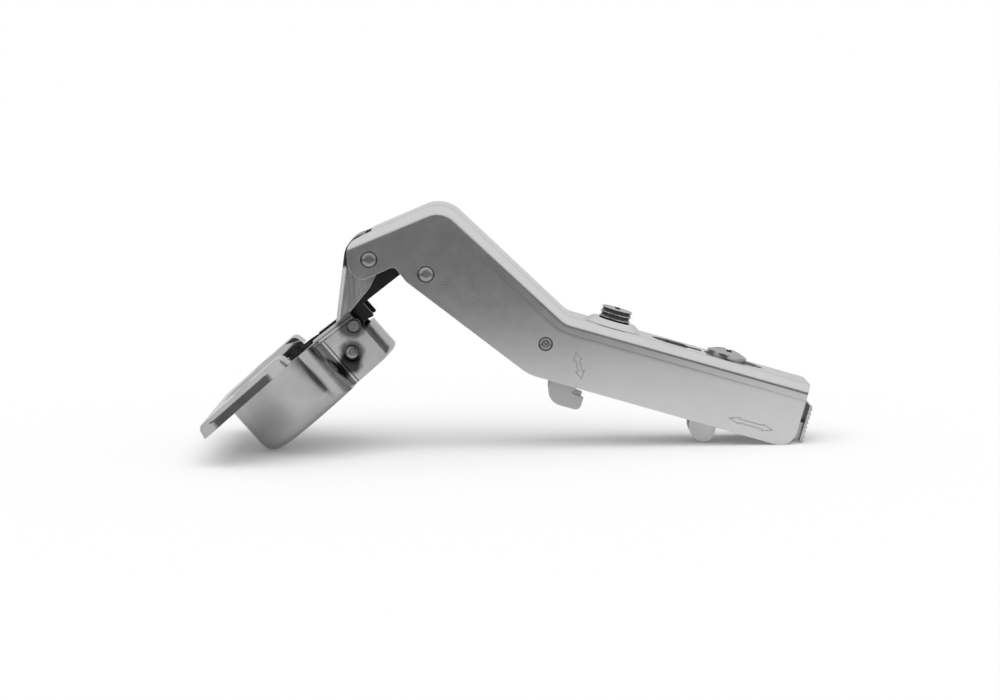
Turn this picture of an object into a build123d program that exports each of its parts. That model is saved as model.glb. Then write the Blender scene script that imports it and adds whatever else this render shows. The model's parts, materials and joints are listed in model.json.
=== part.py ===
from build123d import *
import os
from math import acos, asin, atan2, cos, degrees, hypot, radians, sin, sqrt, tan

os.makedirs("parts", exist_ok=True)

# Driving sizes, millimetres and degrees. X runs from the cup to the arm's tail, Y across, Z up.

# Sheets, fits and clearances
ARM_SHEET = 1.2
LINK_SHEET = 1.2
CUP_SHEET = 0.9
CHANNEL_SHEET = 1.2
LEVER_SHEET = 1.0
SIDE_GAP = 0.3
FREE_GAP = 0.3
RUN_FIT = 0.05
PRESS_FIT = 0.02

# Four-bar linkage, measured with the hinge wide open
ARM_PIN_SPAN = 12.06
ARM_PIN_ANGLE = -15.4
OUTER_LINK_LENGTH = 19.43
OUTER_LINK_ANGLE = -101.5
CUP_PIN_SPAN = 5.48
CUP_PIN_ANGLE = 45.0
CUP_TILT = 40.4
ARM_PIN_DIAMETER = 3.5
RIVET_DISH = 0.35
RIVET_RIM = 0.2
CUP_UPPER_PIN_DIAMETER = 2.2
CUP_LOWER_PIN_DIAMETER = 2.8

# Cup
CUP_DIAMETER = 35.0
CUP_DEPTH = 12.6
CUP_WALL_HEIGHT = 12.5
CUP_BOTTOM_RADIUS = 3.4
CUP_END_RADIUS = 1.0
CUP_PIN_OFFSET = 10.3
CUP_PIN_HEIGHT = 5.4
CUP_PIN_RING = 0.4
CUP_PIN_RING_DEPTH = 0.7
CUP_FLAT_START = 6.7
CUP_CREASE_START = 2.6
CUP_FLANK_BULGE = 1.1
CUP_BACK_HEIGHT = 7.4
CUP_LIP_OVERHANG = 0.9
CUP_LIP_HEIGHT = 1.5
CUP_LIP_SLOPE = 4.0
WING_HEIGHT = 2.6
WING_LEFT = 21.7
WING_RIGHT = 0.9
WING_DRAFT = 12.0
WING_ROLL = 1.4
RIM_RAMP = 3.5
WING_SPAN = 57.0
WING_CORNER = 4.5
WING_EDGE_RADIUS = 1.3
SCREW_PITCH = 45.0
SCREW_OFFSET = 9.5
SCREW_HOLE = 5.0

# Arm
ARM_WIDTH = 17.4
ARM_FOLD_RADIUS = 2.1
ARM_BEND_RADIUS = 4.0
ARM_ELBOW_RADIUS = 6.5
NOSE_RADIUS = 4.5
NOSE_UNDER = 3.5
NOSE_RISE = 28.5
NOSE_CORNER = 3.0
WEB_FRONT_REACH = 6.0
WEB_FRONT_ANGLE = 85.0
FRONT_RUN = 16.2
FRONT_RISE = 22.2
DIAGONAL_RUN = 35.1
DIAGONAL_FALL = 44.3
DIAGONAL_LOWER_FALL = 38.3
REAR_RUN = 51.9
REAR_FALL = 16.9
REAR_HEIGHT = 13.76
BELLY_RADIUS = 9.0
TAIL_RADIUS = 3.6
WALL_BELOW_PIN = 3.7
NOTCH_AHEAD = 2.3
NOTCH_DEPTH = 4.0

# Links
LINK_CURL_RADIUS = 5.3
LINK_FOLD_RADIUS = 1.5
LINK_EYE_MARGIN = 1.1
OUTER_LINK_LEAN = 8.0
INNER_LINK_HEIGHT = 3.5
INNER_LINK_ARCH = 2.3
HOOK_PLAY = 0.45
HEEL_REACH = 18.5
HEEL_HEIGHT = 7.9
SPRING_WIRE = 0.7

# Adjusting gear under the rear of the arm: distances along the rear run, then depth below its top
CARRIER_PIN_ALONG = -2.9
CARRIER_PIN_DEPTH = 6.7
CARRIER_PIN_DIAMETER = 2.9
CARRIER_DEPTH = 4.4
CARRIER_END_GAP = 3.4
CARRIER_SKIRT = 12.7
CARRIER_TILT = 1.5
SIDE_SCREW_ALONG = 9.8
SIDE_SCREW_DIAMETER = 6.6
SIDE_SCREW_ABOVE = 3.75
SIDE_SCREW_NECK = 3.6
SCREW_FOOT_LIP = 1.0
SCREW_FOOT_HEIGHT = 0.8
THREAD_PITCH = 1.0
BOSS_DIAMETER = 14.0
BOSS_HEIGHT = 1.2
WEB_SLOT_ALONG = 18.4
WEB_SLOT_LENGTH = 7.3
WEB_SLOT_WIDTH = 8.4
WEB_DASH_ALONG = 26.6
WEB_DASH_LENGTH = 2.4
WEB_DASH_WIDTH = 4.2
CAM_ALONG = 34.4
CAM_HEAD_DIAMETER = 8.4
CAM_HEAD_ABOVE = 1.9
CAM_SHAFT_DIAMETER = 5.0
CAM_STUD_DIAMETER = 3.0
CAM_THROW = 2.0
CAM_POCKET_LENGTH = 3.0
CAM_POCKET_DEPTH = 0.5
CAM_PLAY = 0.3
DRIVER_SLOT = 1.1
DRIVER_SLOT_DEPTH = 1.2
SLIDE_TRAVEL = 1.7
SLIDE_END_GAP = 5.8
HOOK_START = 0.3
HOOK_LENGTH = 7.5
HOOK_DROP = 4.7
HOOK_NECK = 1.6
HOOK_THROAT = 2.8
HOOK_THROAT_DROP = 1.55
GUIDE_PIN_DIAMETER = 3.0
GUIDE_PIN_FRONT = 16.0
GUIDE_PIN_REAR = 26.0
LEVER_PIN_ALONG = 39.7
LEVER_PIN_DEPTH = 10.1
LEVER_PIN_DIAMETER = 2.5
LEVER_HOOK_ALONG = 30.5
LEVER_HOOK_LENGTH = 5.6
LEVER_HOOK_DROP = 4.1
LEVER_BAR = 3.6
TAB_GAP = 1.4
TAB_SHEET = 0.5
TAB_TOP = 4.4
TAB_HEIGHT = 7.6
TAB_TOOTH = 0.35
TAB_PITCH = 0.95


def polar(start, length, angle):
    return (start[0] + length * cos(radians(angle)), start[1] + length * sin(radians(angle)))


def between(start, end, share):
    return (start[0] + (end[0] - start[0]) * share, start[1] + (end[1] - start[1]) * share)


def crossing(first, first_angle, second, second_angle):
    """The point where two straight lines meet."""
    across = sin(radians(second_angle - first_angle))
    reach_x = second[0] - first[0]
    reach_z = second[1] - first[1]
    along = (reach_x * sin(radians(second_angle)) - reach_z * cos(radians(second_angle))) / across
    return polar(first, along, first_angle)


# Pivots, with the front arm pin at the origin of the linkage
front_pin = (0.0, 0.0)
rear_pin = polar(front_pin, ARM_PIN_SPAN, ARM_PIN_ANGLE)
lower_cup_pin = polar(front_pin, OUTER_LINK_LENGTH, OUTER_LINK_ANGLE)
upper_cup_pin = polar(lower_cup_pin, CUP_PIN_SPAN, CUP_TILT + CUP_PIN_ANGLE)

# Cup frame: its own X along the tilted face towards the pins, its own Z out of the mouth
pin_wall_foot = polar(lower_cup_pin, CUP_PIN_HEIGHT, CUP_TILT - 90)
cup_axis_foot = polar(pin_wall_foot, CUP_PIN_OFFSET, CUP_TILT + 180)
cup_radius = CUP_DIAMETER / 2
cup_frame = Pos(cup_axis_foot[0], 0, cup_axis_foot[1]) * Rot(0, -CUP_TILT, 0)

# Arm corners along its top and its lower edge
web_front = polar(front_pin, WEB_FRONT_REACH, WEB_FRONT_ANGLE)
elbow = polar(web_front, FRONT_RUN, FRONT_RISE)
knee = polar(elbow, DIAGONAL_RUN, -DIAGONAL_FALL)
tail_top = polar(knee, REAR_RUN, -REAR_FALL)
tail_low = polar(tail_top, REAR_HEIGHT, -REAR_FALL - 90)
pin_foot = polar(rear_pin, WALL_BELOW_PIN, -DIAGONAL_LOWER_FALL - 90)
belly = crossing(pin_foot, -DIAGONAL_LOWER_FALL, tail_low, -REAR_FALL)
notch_low = polar(pin_foot, NOTCH_AHEAD, 180 - DIAGONAL_LOWER_FALL)
notch_top = polar(notch_low, NOTCH_DEPTH, 127)
nose_angle = 180 + 21.3
nose_chord = sqrt(NOSE_RADIUS**2 - NOSE_UNDER**2)
nose_corner = polar(polar(front_pin, NOSE_UNDER, nose_angle + 90), nose_chord, nose_angle)
nose_side = polar(front_pin, NOSE_RADIUS, 180)
nose_peak = crossing(web_front, NOSE_RISE, nose_side, 90)

# Widths of the nested channels, from the outside in
arm_half = ARM_WIDTH / 2
arm_inside = arm_half - ARM_SHEET
outer_link_half = arm_inside - SIDE_GAP
outer_link_inside = outer_link_half - LINK_SHEET
inner_link_half = outer_link_inside - SIDE_GAP
inner_link_inside = inner_link_half - LINK_SHEET
carrier_half = arm_inside - SIDE_GAP
carrier_inside = carrier_half - CHANNEL_SHEET
slide_half = carrier_inside - SIDE_GAP
slide_inside = slide_half - CHANNEL_SHEET
lever_half = slide_inside - SIDE_GAP
lever_inside = lever_half - LEVER_SHEET
cup_flat_inside = outer_link_half + SIDE_GAP
cup_flat = cup_flat_inside + CUP_SHEET
arm_pin_radius = ARM_PIN_DIAMETER / 2
upper_pin_radius = CUP_UPPER_PIN_DIAMETER / 2
lower_pin_radius = CUP_LOWER_PIN_DIAMETER / 2
far = 4 * ARM_WIDTH

# The hinge stands on the cup's lower edge and the arm's rear corners
cup_low = cup_axis_foot[1] - (cup_radius - CUP_BOTTOM_RADIUS) * sin(radians(CUP_TILT))
cup_low = cup_low + CUP_BOTTOM_RADIUS * (cos(radians(CUP_TILT)) - 1)
tail_centre = polar(polar(tail_low, TAIL_RADIUS, 180 - REAR_FALL), TAIL_RADIUS, 90 - REAR_FALL)
arm_low = tail_centre[1] - TAIL_RADIUS
wing_width = WING_LEFT + WING_RIGHT
wing_centre = (WING_RIGHT - WING_LEFT) / 2
wing_lean = (WING_HEIGHT - WING_EDGE_RADIUS) * tan(radians(WING_DRAFT))
wing_lean = wing_lean + WING_EDGE_RADIUS / cos(radians(WING_DRAFT))
wing_left = wing_lean - WING_LEFT
wing_top = CUP_DEPTH + WING_HEIGHT - WING_EDGE_RADIUS
cup_left = cup_axis_foot[0] + wing_left * cos(radians(CUP_TILT)) - WING_EDGE_RADIUS
cup_left = cup_left - wing_top * sin(radians(CUP_TILT))
tab_along = REAR_RUN + TAB_GAP
tooth_count = int(TAB_HEIGHT / TAB_PITCH)
tooth_pitch = TAB_HEIGHT / tooth_count
tab_tip = polar(knee, tab_along + TAB_SHEET + TAB_TOOTH, -REAR_FALL)
tab_tip = polar(tab_tip, TAB_TOP + tooth_pitch, -REAR_FALL - 90)
stand = Pos(-(cup_left + tab_tip[0]) / 2, 0, -min(cup_low, arm_low))


def rail(along, depth):
    """A point under the rear run: distance along it, then depth below its top face."""
    return polar(polar(knee, along, -REAR_FALL), depth, -REAR_FALL - 90)


def face_of(points):
    return make_face(Polyline(*points, close=True))


def rounded(face, corner, radius):
    return fillet(face.vertices().sort_by_distance((corner[0], corner[1], 0))[0], radius)


def prism(face, half_width):
    """A side-view outline drawn out equally to both sides."""
    return extrude(Plane.XZ * face, amount=half_width, both=True)


def cross_rod(point, radius, half_width):
    return Pos(point[0], 0, point[1]) * Rot(90, 0, 0) * Cylinder(radius, 2 * half_width)


def stadium(start, end, radius):
    """A straight slot outline between two round ends."""
    outline = Pos(*start) * Circle(radius) + Pos(*end) * Circle(radius)
    run = hypot(end[0] - start[0], end[1] - start[1])
    angle = degrees(acos((end[0] - start[0]) / run)) * (1 if end[1] >= start[1] else -1)
    return outline + Pos(*between(start, end, 0.5)) * Rot(0, 0, angle) * Rectangle(run, 2 * radius)


def rail_frame(along, depth):
    """A frame on the rear run: X along it, Z up out of its top face."""
    point = rail(along, depth)
    return Pos(point[0], 0, point[1]) * Rot(0, REAR_FALL, 0)


def rivet(point, radius, half_width, dish):
    """A pin with a shallow dish pressed into both ends and a dimpled nub in the middle of each dish."""
    mouth = radius - RIVET_RIM
    nub = radius * 0.36
    dimple = nub / 2
    floor = half_width + RUN_FIT - dish
    tip = half_width + RUN_FIT
    stem = Polyline((0, tip - dimple), (0, 0), (radius, 0), (radius, tip), (mouth, tip))
    hollow = ThreePointArc((mouth, tip), (nub + (mouth - nub) / 3, tip - 0.75 * dish), (nub, floor))
    step = Polyline((nub, floor), (nub, tip), (dimple, tip))
    bowl = ThreePointArc((dimple, tip), polar((0, tip), dimple, -45), (0, tip - dimple))
    half = revolve(Plane.XZ * make_face(stem + hollow + step + bowl), Axis.Z)
    return Pos(point[0], 0, point[1]) * Rot(90, 0, 0) * (half + mirror(half, Plane.XY))


def coil(point, wire, inner_radius, half_width):
    """A close-wound torsion spring lying across the hinge."""
    turns = int((2 * half_width - wire) / (wire * 1.25))
    mean_radius = inner_radius + wire / 2
    height = turns * wire * 1.25
    path = Helix(height / turns, height, mean_radius)
    section = Plane(path @ 0, z_dir=path % 0) * Circle(wire / 2)
    return Pos(point[0], height / 2, point[1]) * Rot(90, 0, 0) * sweep(section, path)


def edges_along(block, paths, half_width):
    """The edges on both sides of a drawn-out block that follow a side-view path."""
    found = []
    for edge in block.edges():
        middle = edge @ 0.5
        spot = Vertex(middle.X, 0, middle.Z)
        reach = min(spot.distance_to(Plane.XZ * path) for path in paths)
        if reach < 0.01 and abs(abs(middle.Y) - half_width) < 0.01:
            found.append(edge)
    return found


def arm_outline():
    run = Polyline(web_front, elbow, knee, tail_top, tail_low, belly, notch_low, notch_top, nose_corner)
    nose = ThreePointArc(nose_corner, polar(front_pin, NOSE_RADIUS, 216), nose_side)
    outline = make_face(run + nose + Polyline(nose_side, nose_peak, web_front))
    outline = rounded(outline, nose_peak, NOSE_CORNER)
    outline = rounded(outline, elbow, ARM_ELBOW_RADIUS)
    outline = rounded(outline, knee, ARM_BEND_RADIUS)
    outline = rounded(outline, tail_low, TAIL_RADIUS)
    outline = rounded(outline, belly, BELLY_RADIUS)
    outline = rounded(outline, notch_low, ARM_SHEET)
    outline = rounded(outline, notch_top, ARM_SHEET)
    return rounded(outline, nose_corner, 2 * ARM_SHEET)


def arm_hollow():
    """Everything between the side walls, below the web and ahead of it."""
    front_in = polar(web_front, ARM_SHEET, FRONT_RISE - 90)
    diagonal_in = polar(knee, ARM_SHEET, -DIAGONAL_FALL - 90)
    knee_in = crossing(diagonal_in, -DIAGONAL_FALL, rail(0, ARM_SHEET), -REAR_FALL)
    elbow_in = crossing(front_in, FRONT_RISE, knee_in, -DIAGONAL_FALL)
    tail_in = rail(REAR_RUN + far, ARM_SHEET)
    front_out = polar(web_front, far, FRONT_RISE + 90)
    left_low = (web_front[0] - far, tail_in[1] - far)
    left_top = (web_front[0] - far, front_out[1])
    right_low = (tail_in[0], left_low[1])
    hollow = face_of((front_in, elbow_in, knee_in, tail_in, right_low, left_low, left_top, front_out))
    hollow = rounded(hollow, elbow_in, ARM_ELBOW_RADIUS - ARM_SHEET)
    return rounded(hollow, knee_in, ARM_BEND_RADIUS + ARM_SHEET)


def web_cutter(outline):
    """A hole drawn in plan and cut straight down through the rear web."""
    return extrude(rail_frame(0, 0) * outline, amount=2 * ARM_SHEET, both=True)


def hinge_arm():
    block = prism(arm_outline(), arm_half)
    roof_front = FilletPolyline(web_front, elbow, knee, radius=ARM_ELBOW_RADIUS)
    roof_rear = FilletPolyline(elbow, knee, tail_top, radius=ARM_BEND_RADIUS)
    folds = edges_along(block, (roof_front, roof_rear), arm_half)
    arm = fillet(folds, ARM_FOLD_RADIUS) - prism(arm_hollow(), arm_inside)
    boss = Cone(BOSS_DIAMETER / 2, SIDE_SCREW_DIAMETER / 2 + ARM_SHEET, BOSS_HEIGHT + ARM_SHEET / 2)
    arm = arm + rail_frame(SIDE_SCREW_ALONG, -BOSS_HEIGHT / 2 + ARM_SHEET / 4) * boss
    screw_hole = Cylinder(SIDE_SCREW_DIAMETER / 2 + RUN_FIT, far)
    arm = arm - rail_frame(SIDE_SCREW_ALONG, 0) * screw_hole
    slot_radius = WEB_SLOT_WIDTH / 2
    slot_end = WEB_SLOT_ALONG + WEB_SLOT_LENGTH
    slot = Pos(WEB_SLOT_ALONG + slot_radius, 0) * Circle(slot_radius)
    slot_body = WEB_SLOT_LENGTH - slot_radius
    slot = slot + Pos(slot_end - slot_body / 2, 0) * Rectangle(slot_body, WEB_SLOT_WIDTH)
    dash = Pos(WEB_DASH_ALONG + WEB_DASH_LENGTH / 2, 0) * Rectangle(WEB_DASH_LENGTH, WEB_DASH_WIDTH)
    window_radius = CAM_HEAD_DIAMETER / 2 + 2 * FREE_GAP
    window = Pos(CAM_ALONG, 0) * Circle(window_radius)
    arm = arm - web_cutter(slot) - web_cutter(dash) - web_cutter(window)
    pocket = stadium((CAM_ALONG, 0), (CAM_ALONG + CAM_POCKET_LENGTH, 0), window_radius)
    arm = arm - extrude(rail_frame(0, CAM_POCKET_DEPTH) * pocket, amount=2 * ARM_SHEET)
    for point in (front_pin, rear_pin):
        arm = arm - cross_rod(point, arm_pin_radius + PRESS_FIT, far)
    return arm - cross_rod(carrier_pin, CARRIER_PIN_DIAMETER / 2 + PRESS_FIT, far)


def flank_cut(grow):
    """The two corners taken off the round cup beside the pins, seen from above."""
    start = (CUP_CREASE_START, sqrt(cup_radius**2 - CUP_CREASE_START**2))
    bend = (CUP_FLAT_START, cup_flat)
    chord_turn = degrees(atan2(start[1] - bend[1], bend[0] - start[0]))
    bulge = polar(between(start, bend, 0.5), CUP_FLANK_BULGE, 90 - chord_turn)
    flank = ThreePointArc(start, bulge, bend)
    edge = Polyline(bend, (far, cup_flat), (far, far), (CUP_CREASE_START, far), start)
    corner = make_face(flank + edge)
    corner = rounded(corner, bend, CUP_SHEET)
    if grow > 0:
        corner = offset(corner, amount=grow)
    return corner + mirror(corner, Plane.XZ)


def cup_drum(radius, floor, top, bottom_radius, end_radius, grow):
    """A round cup, softly rounded at the bottom, with a sharper narrow end beside the pins."""
    drum = Pos(0, 0, (floor + top) / 2) * Cylinder(radius, top - floor)
    narrow = fillet(drum.edges().sort_by(Axis.Z)[0], end_radius)
    narrow = narrow & Pos(CUP_FLAT_START + far / 2, 0, 0) * Box(far, 2 * cup_flat, far)
    drum = fillet(drum.edges().sort_by(Axis.Z)[0], bottom_radius)
    return drum + narrow - extrude(flank_cut(grow), amount=far, both=True)


def wing_block(shrink, floor, top, edge_radius):
    width = wing_width - 2 * shrink
    plan = RectangleRounded(width, WING_SPAN - 2 * shrink, WING_CORNER - shrink)
    block = extrude(Pos(wing_centre, 0, floor) * plan, amount=top - floor, taper=WING_DRAFT)
    return fillet(block.faces().sort_by(Axis.Z)[-1].edges(), edge_radius)


def pin_lip():
    """The turned-out top edge of both pin walls, falling towards the back."""
    start = WING_RIGHT - CUP_SHEET
    end = sqrt(cup_radius**2 - cup_flat**2)
    drop = (end - start) * tan(radians(CUP_LIP_SLOPE))
    top = CUP_WALL_HEIGHT + CUP_SHEET / 2
    low = top - CUP_LIP_HEIGHT
    side = face_of(((start, top), (end, top - drop), (end, low - drop), (start, low)))
    lip = prism(side, cup_flat + CUP_LIP_OVERHANG)
    above = Line((start, top), (end, top - drop))
    below = Line((start, low), (end, low - drop))
    lip = fillet(edges_along(lip, (above, below), cup_flat + CUP_LIP_OVERHANG), CUP_LIP_HEIGHT * 0.45)
    return lip - prism(side, cup_flat_inside)


def hinge_cup():
    wing_right = WING_RIGHT
    rim = CUP_DEPTH + WING_HEIGHT
    lip_end = sqrt(cup_radius**2 - cup_flat**2)
    shell = cup_drum(cup_radius, 0, rim, CUP_BOTTOM_RADIUS, CUP_END_RADIUS, 0)
    lean = Pos(far / 2, 0, far / 2) * Box(far, far, far)
    lean = Pos(wing_right, 0, CUP_WALL_HEIGHT) * Rot(0, CUP_LIP_SLOPE, 0) * lean
    above = Pos(wing_right + far / 2, 0, CUP_WALL_HEIGHT + far / 2) * Box(far, far, far)
    shell = shell - above - lean
    wings = wing_block(0, CUP_DEPTH, rim, WING_EDGE_RADIUS)
    under = wing_block(CUP_SHEET, CUP_DEPTH - CUP_SHEET, rim - CUP_SHEET, CUP_SHEET / 2)
    wings = wings - under
    inside_radius = cup_radius - CUP_SHEET
    inside_corner = CUP_BOTTOM_RADIUS - CUP_SHEET
    inside = cup_drum(inside_radius, CUP_SHEET, rim + far, inside_corner, FREE_GAP, CUP_SHEET)
    roll_start = (inside_radius, rim - WING_ROLL)
    roll_end = (inside_radius + WING_ROLL, rim)
    roll_middle = polar((roll_end[0], roll_start[1]), WING_ROLL, 135)
    roll = ThreePointArc(roll_start, roll_middle, roll_end)
    over = ((roll_end[0], far), (0, far), (0, CUP_DEPTH), (inside_radius, CUP_DEPTH))
    mouth = revolve(Plane.XZ * make_face(roll + Polyline(roll_end, *over, roll_start)), Axis.Z)
    wing_zone = Pos(wing_centre, 0, CUP_DEPTH) * Box(wing_width + CUP_SHEET, far, far)
    lip_level = CUP_WALL_HEIGHT + CUP_SHEET / 2
    ramp_foot = (wing_right + CUP_SHEET, lip_level)
    ramp_top = (wing_right - RIM_RAMP, rim)
    ramp = face_of((ramp_top, ramp_foot, (ramp_foot[0], far), (ramp_top[0], far)))
    cup = shell + wings - prism(ramp, cup_radius) + pin_lip() - inside - (mouth & wing_zone)
    back = Pos(lip_end + far / 2 - 2 * CUP_SHEET, 0, CUP_BACK_HEIGHT + far / 2)
    cup = cup - back * Box(far, 2 * cup_flat_inside, far)
    screw_hole = Cylinder(SCREW_HOLE / 2, 2 * WING_HEIGHT)
    for side in (-1, 1):
        cup = cup - Pos(-SCREW_OFFSET, side * SCREW_PITCH / 2, rim) * screw_hole
    cup = cup_frame * cup
    for point, radius in ((lower_cup_pin, lower_pin_radius), (upper_cup_pin, upper_pin_radius)):
        cup = cup - cross_rod(point, radius + PRESS_FIT, far)
        for side in (-1, 1):
            ring = Rot(90, 0, 0) * Cylinder(radius + CUP_PIN_RING, 2 * CUP_PIN_RING_DEPTH)
            cup = cup - Pos(point[0], side * cup_flat, point[1]) * ring
    return cup


# Outer link: a channel whose web is its front edge, curled over the front pin
link_fall = 270 - OUTER_LINK_LEAN
curl_front = polar(front_pin, LINK_CURL_RADIUS, link_fall - 90)
curl_end_angle = 100
strap_gap = upper_pin_radius + LINK_EYE_MARGIN + FREE_GAP
lower_eye = lower_pin_radius + LINK_EYE_MARGIN
web_low = crossing(curl_front, link_fall, upper_cup_pin, 180)


def link_curl():
    top = polar(front_pin, LINK_CURL_RADIUS, curl_end_angle)
    return ThreePointArc(curl_front, polar(front_pin, LINK_CURL_RADIUS, 135), top)


def outer_link_outline():
    eye_side = arm_pin_radius + LINK_SHEET
    top = polar(front_pin, LINK_CURL_RADIUS, curl_end_angle)
    top_in = polar(front_pin, eye_side, curl_end_angle)
    right = polar(front_pin, eye_side, 0)
    shoulder = polar(front_pin, LINK_CURL_RADIUS + LINK_SHEET / 2, 270)
    mouth = polar(upper_cup_pin, strap_gap + LINK_EYE_MARGIN / 2, 100)
    waist = polar(upper_cup_pin, upper_pin_radius + 2 * FREE_GAP, 180)
    eye_right = polar(lower_cup_pin, lower_eye, 75)
    eye_left = polar(lower_cup_pin, lower_eye, 195)
    start = Line(top, top_in)
    crown = ThreePointArc(top_in, polar(front_pin, eye_side, curl_end_angle / 2), right)
    side = Polyline(right, shoulder, mouth, waist, eye_right)
    eye = ThreePointArc(eye_right, polar(lower_cup_pin, lower_eye, -45), eye_left)
    front = Polyline(eye_left, web_low, curl_front)
    outline = make_face(start + crown + side + eye + front + link_curl())
    return rounded(outline, shoulder, LINK_SHEET)


def outer_link():
    inner_front = polar(curl_front, LINK_SHEET, link_fall + 90)
    inner_low = polar(web_low, LINK_SHEET, link_fall + 90)
    inner_end = (inner_low[0], lower_cup_pin[1] - far)
    right_low = (far, inner_end[1])
    hollow = face_of((inner_front, inner_low, inner_end, right_low, (far, far), (0, far), front_pin))
    hollow = hollow + Circle(LINK_CURL_RADIUS - LINK_SHEET)
    below = web_low[1] - far
    left = web_low[0] - far
    open_low = face_of(((left, web_low[1]), (far, web_low[1]), (far, below), (left, below)))
    link = prism(outer_link_outline(), outer_link_half)
    folds = edges_along(link, (link_curl(), Line(web_low, curl_front)), outer_link_half)
    link = fillet(folds, LINK_FOLD_RADIUS)
    link = link - prism(hollow + Pos(0, -LINK_SHEET) * open_low, outer_link_inside)
    link = link - cross_rod(front_pin, arm_pin_radius + RUN_FIT, far)
    return link - cross_rod(lower_cup_pin, lower_pin_radius + RUN_FIT, far)


# Inner link: a channel whose web is its upper edge, arched from the upper cup pin over the rear arm pin
link_chord = hypot(rear_pin[0] - upper_cup_pin[0], rear_pin[1] - upper_cup_pin[1])
chord_angle = degrees(asin((rear_pin[1] - upper_cup_pin[1]) / link_chord))
upper_eye = upper_pin_radius + LINK_EYE_MARGIN - RUN_FIT


def chord(along, above):
    """A point of the inner link: distance from the upper cup pin, then height over its pin line."""
    return polar(polar(upper_cup_pin, along, chord_angle), above, chord_angle + 90)


def inner_link_outline():
    hook_in = link_chord + arm_pin_radius + HOOK_PLAY
    hook_out = hook_in + LINK_SHEET
    under_front = INNER_LINK_ARCH
    under_rear = INNER_LINK_ARCH + HOOK_PLAY * 2
    top_front = under_front + INNER_LINK_HEIGHT
    top_rear = under_rear + INNER_LINK_HEIGHT
    eye_left = polar(upper_cup_pin, upper_eye, 180)
    heel = polar(polar(cup_axis_foot, HEEL_REACH, CUP_TILT), HEEL_HEIGHT, CUP_TILT + 90)
    under = degrees(atan2(under_rear - under_front, hook_in))
    knuckle = crossing(heel, CUP_TILT + 90, chord(0, under_front), chord_angle + under)
    crown = chord(1.4 * upper_eye, top_front)
    tip = -arm_pin_radius / 2
    hook_tip = (chord(hook_in, tip), chord(hook_out, tip))
    hook = (chord(hook_in, under_rear), *hook_tip, chord(hook_out, under_rear))
    top = (chord(link_chord, top_rear), crown, eye_left)
    outline = face_of((upper_cup_pin, heel, knuckle, *hook, *top))
    outline = rounded(outline, heel, FREE_GAP)
    outline = rounded(outline, crown, 2 * LINK_SHEET)
    outline = rounded(outline, chord(link_chord, top_rear), 2 * LINK_SHEET)
    return outline + Pos(*upper_cup_pin) * Circle(upper_eye)


def inner_link():
    slope = 2 * HOOK_PLAY / (link_chord - 1.4 * upper_eye)
    ceiling = INNER_LINK_ARCH + INNER_LINK_HEIGHT - LINK_SHEET
    hollow_left = chord(-far, ceiling - slope * far)
    hollow_right = chord(far, ceiling + slope * far)
    hollow = face_of((hollow_left, hollow_right, chord(far, -far), chord(-far, -far)))
    link = prism(inner_link_outline(), inner_link_half) - prism(hollow, inner_link_inside)
    return link - cross_rod(upper_cup_pin, upper_pin_radius + RUN_FIT, far)


# Adjusting gear: pins and depths under the rear run
carrier_pin = rail(CARRIER_PIN_ALONG, CARRIER_PIN_DEPTH)
lever_pin = rail(LEVER_PIN_ALONG, LEVER_PIN_DEPTH)
slide_depth = CARRIER_DEPTH + CHANNEL_SHEET + FREE_GAP
slide_skirt = CARRIER_SKIRT - FREE_GAP
slide_front = CARRIER_PIN_ALONG + CARRIER_PIN_DIAMETER / 2 + SLIDE_TRAVEL + FREE_GAP
guide_depth = slide_depth + CHANNEL_SHEET + FREE_GAP + GUIDE_PIN_DIAMETER / 2
screw_reach = SIDE_SCREW_ALONG + SIDE_SCREW_DIAMETER / 2 - CARRIER_PIN_ALONG
screw_play = radians(CARRIER_TILT) * screw_reach + RUN_FIT
foot_radius = SIDE_SCREW_NECK / 2 + SCREW_FOOT_LIP


def rail_face(points):
    return face_of([rail(along, depth) for along, depth in points])


def rail_block(start, end, top, low):
    """A rectangle under the rear run, between two distances along it and two depths."""
    return rail_face(((start, top), (end, top), (end, low), (start, low)))


def tilt_carrier():
    ear = CARRIER_PIN_DIAMETER / 2 + CHANNEL_SHEET
    front = CARRIER_PIN_ALONG + ear
    end = REAR_RUN - CARRIER_END_GAP
    wall = rail_block(front, end, CARRIER_DEPTH, CARRIER_SKIRT)
    wall = rounded(wall, rail(end, CARRIER_SKIRT), 2 * CHANNEL_SHEET)
    ear_low = (CARRIER_PIN_ALONG, CARRIER_PIN_DEPTH + ear)
    heel = ((front + ear, CARRIER_DEPTH), (front + ear, CARRIER_SKIRT), (front, CARRIER_SKIRT))
    lug = rail_face(((CARRIER_PIN_ALONG, CARRIER_PIN_DEPTH), *heel, ear_low))
    wall = wall + lug + Pos(*carrier_pin) * Circle(ear)
    room = rail_block(-far, far, CARRIER_DEPTH + CHANNEL_SHEET, far)
    room = room + rail_block(-far, front, -far, far)
    carrier = prism(wall, carrier_half) - prism(room, carrier_inside)
    reach = SLIDE_TRAVEL + FREE_GAP
    for along in (GUIDE_PIN_FRONT, GUIDE_PIN_REAR):
        slot_ends = (rail(along - reach, guide_depth), rail(along + reach, guide_depth))
        carrier = carrier - prism(stadium(*slot_ends, GUIDE_PIN_DIAMETER / 2 + RUN_FIT), far)
    neck_hole = Cylinder(SIDE_SCREW_NECK / 2 + FREE_GAP, far / 4)
    carrier = carrier - rail_frame(SIDE_SCREW_ALONG, CARRIER_DEPTH) * neck_hole
    shaft_hole = Cylinder(CAM_SHAFT_DIAMETER / 2 + RUN_FIT, far / 4)
    carrier = carrier - rail_frame(CAM_ALONG, CARRIER_DEPTH) * shaft_hole
    return carrier - cross_rod(carrier_pin, CARRIER_PIN_DIAMETER / 2 + RUN_FIT, far)


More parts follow.
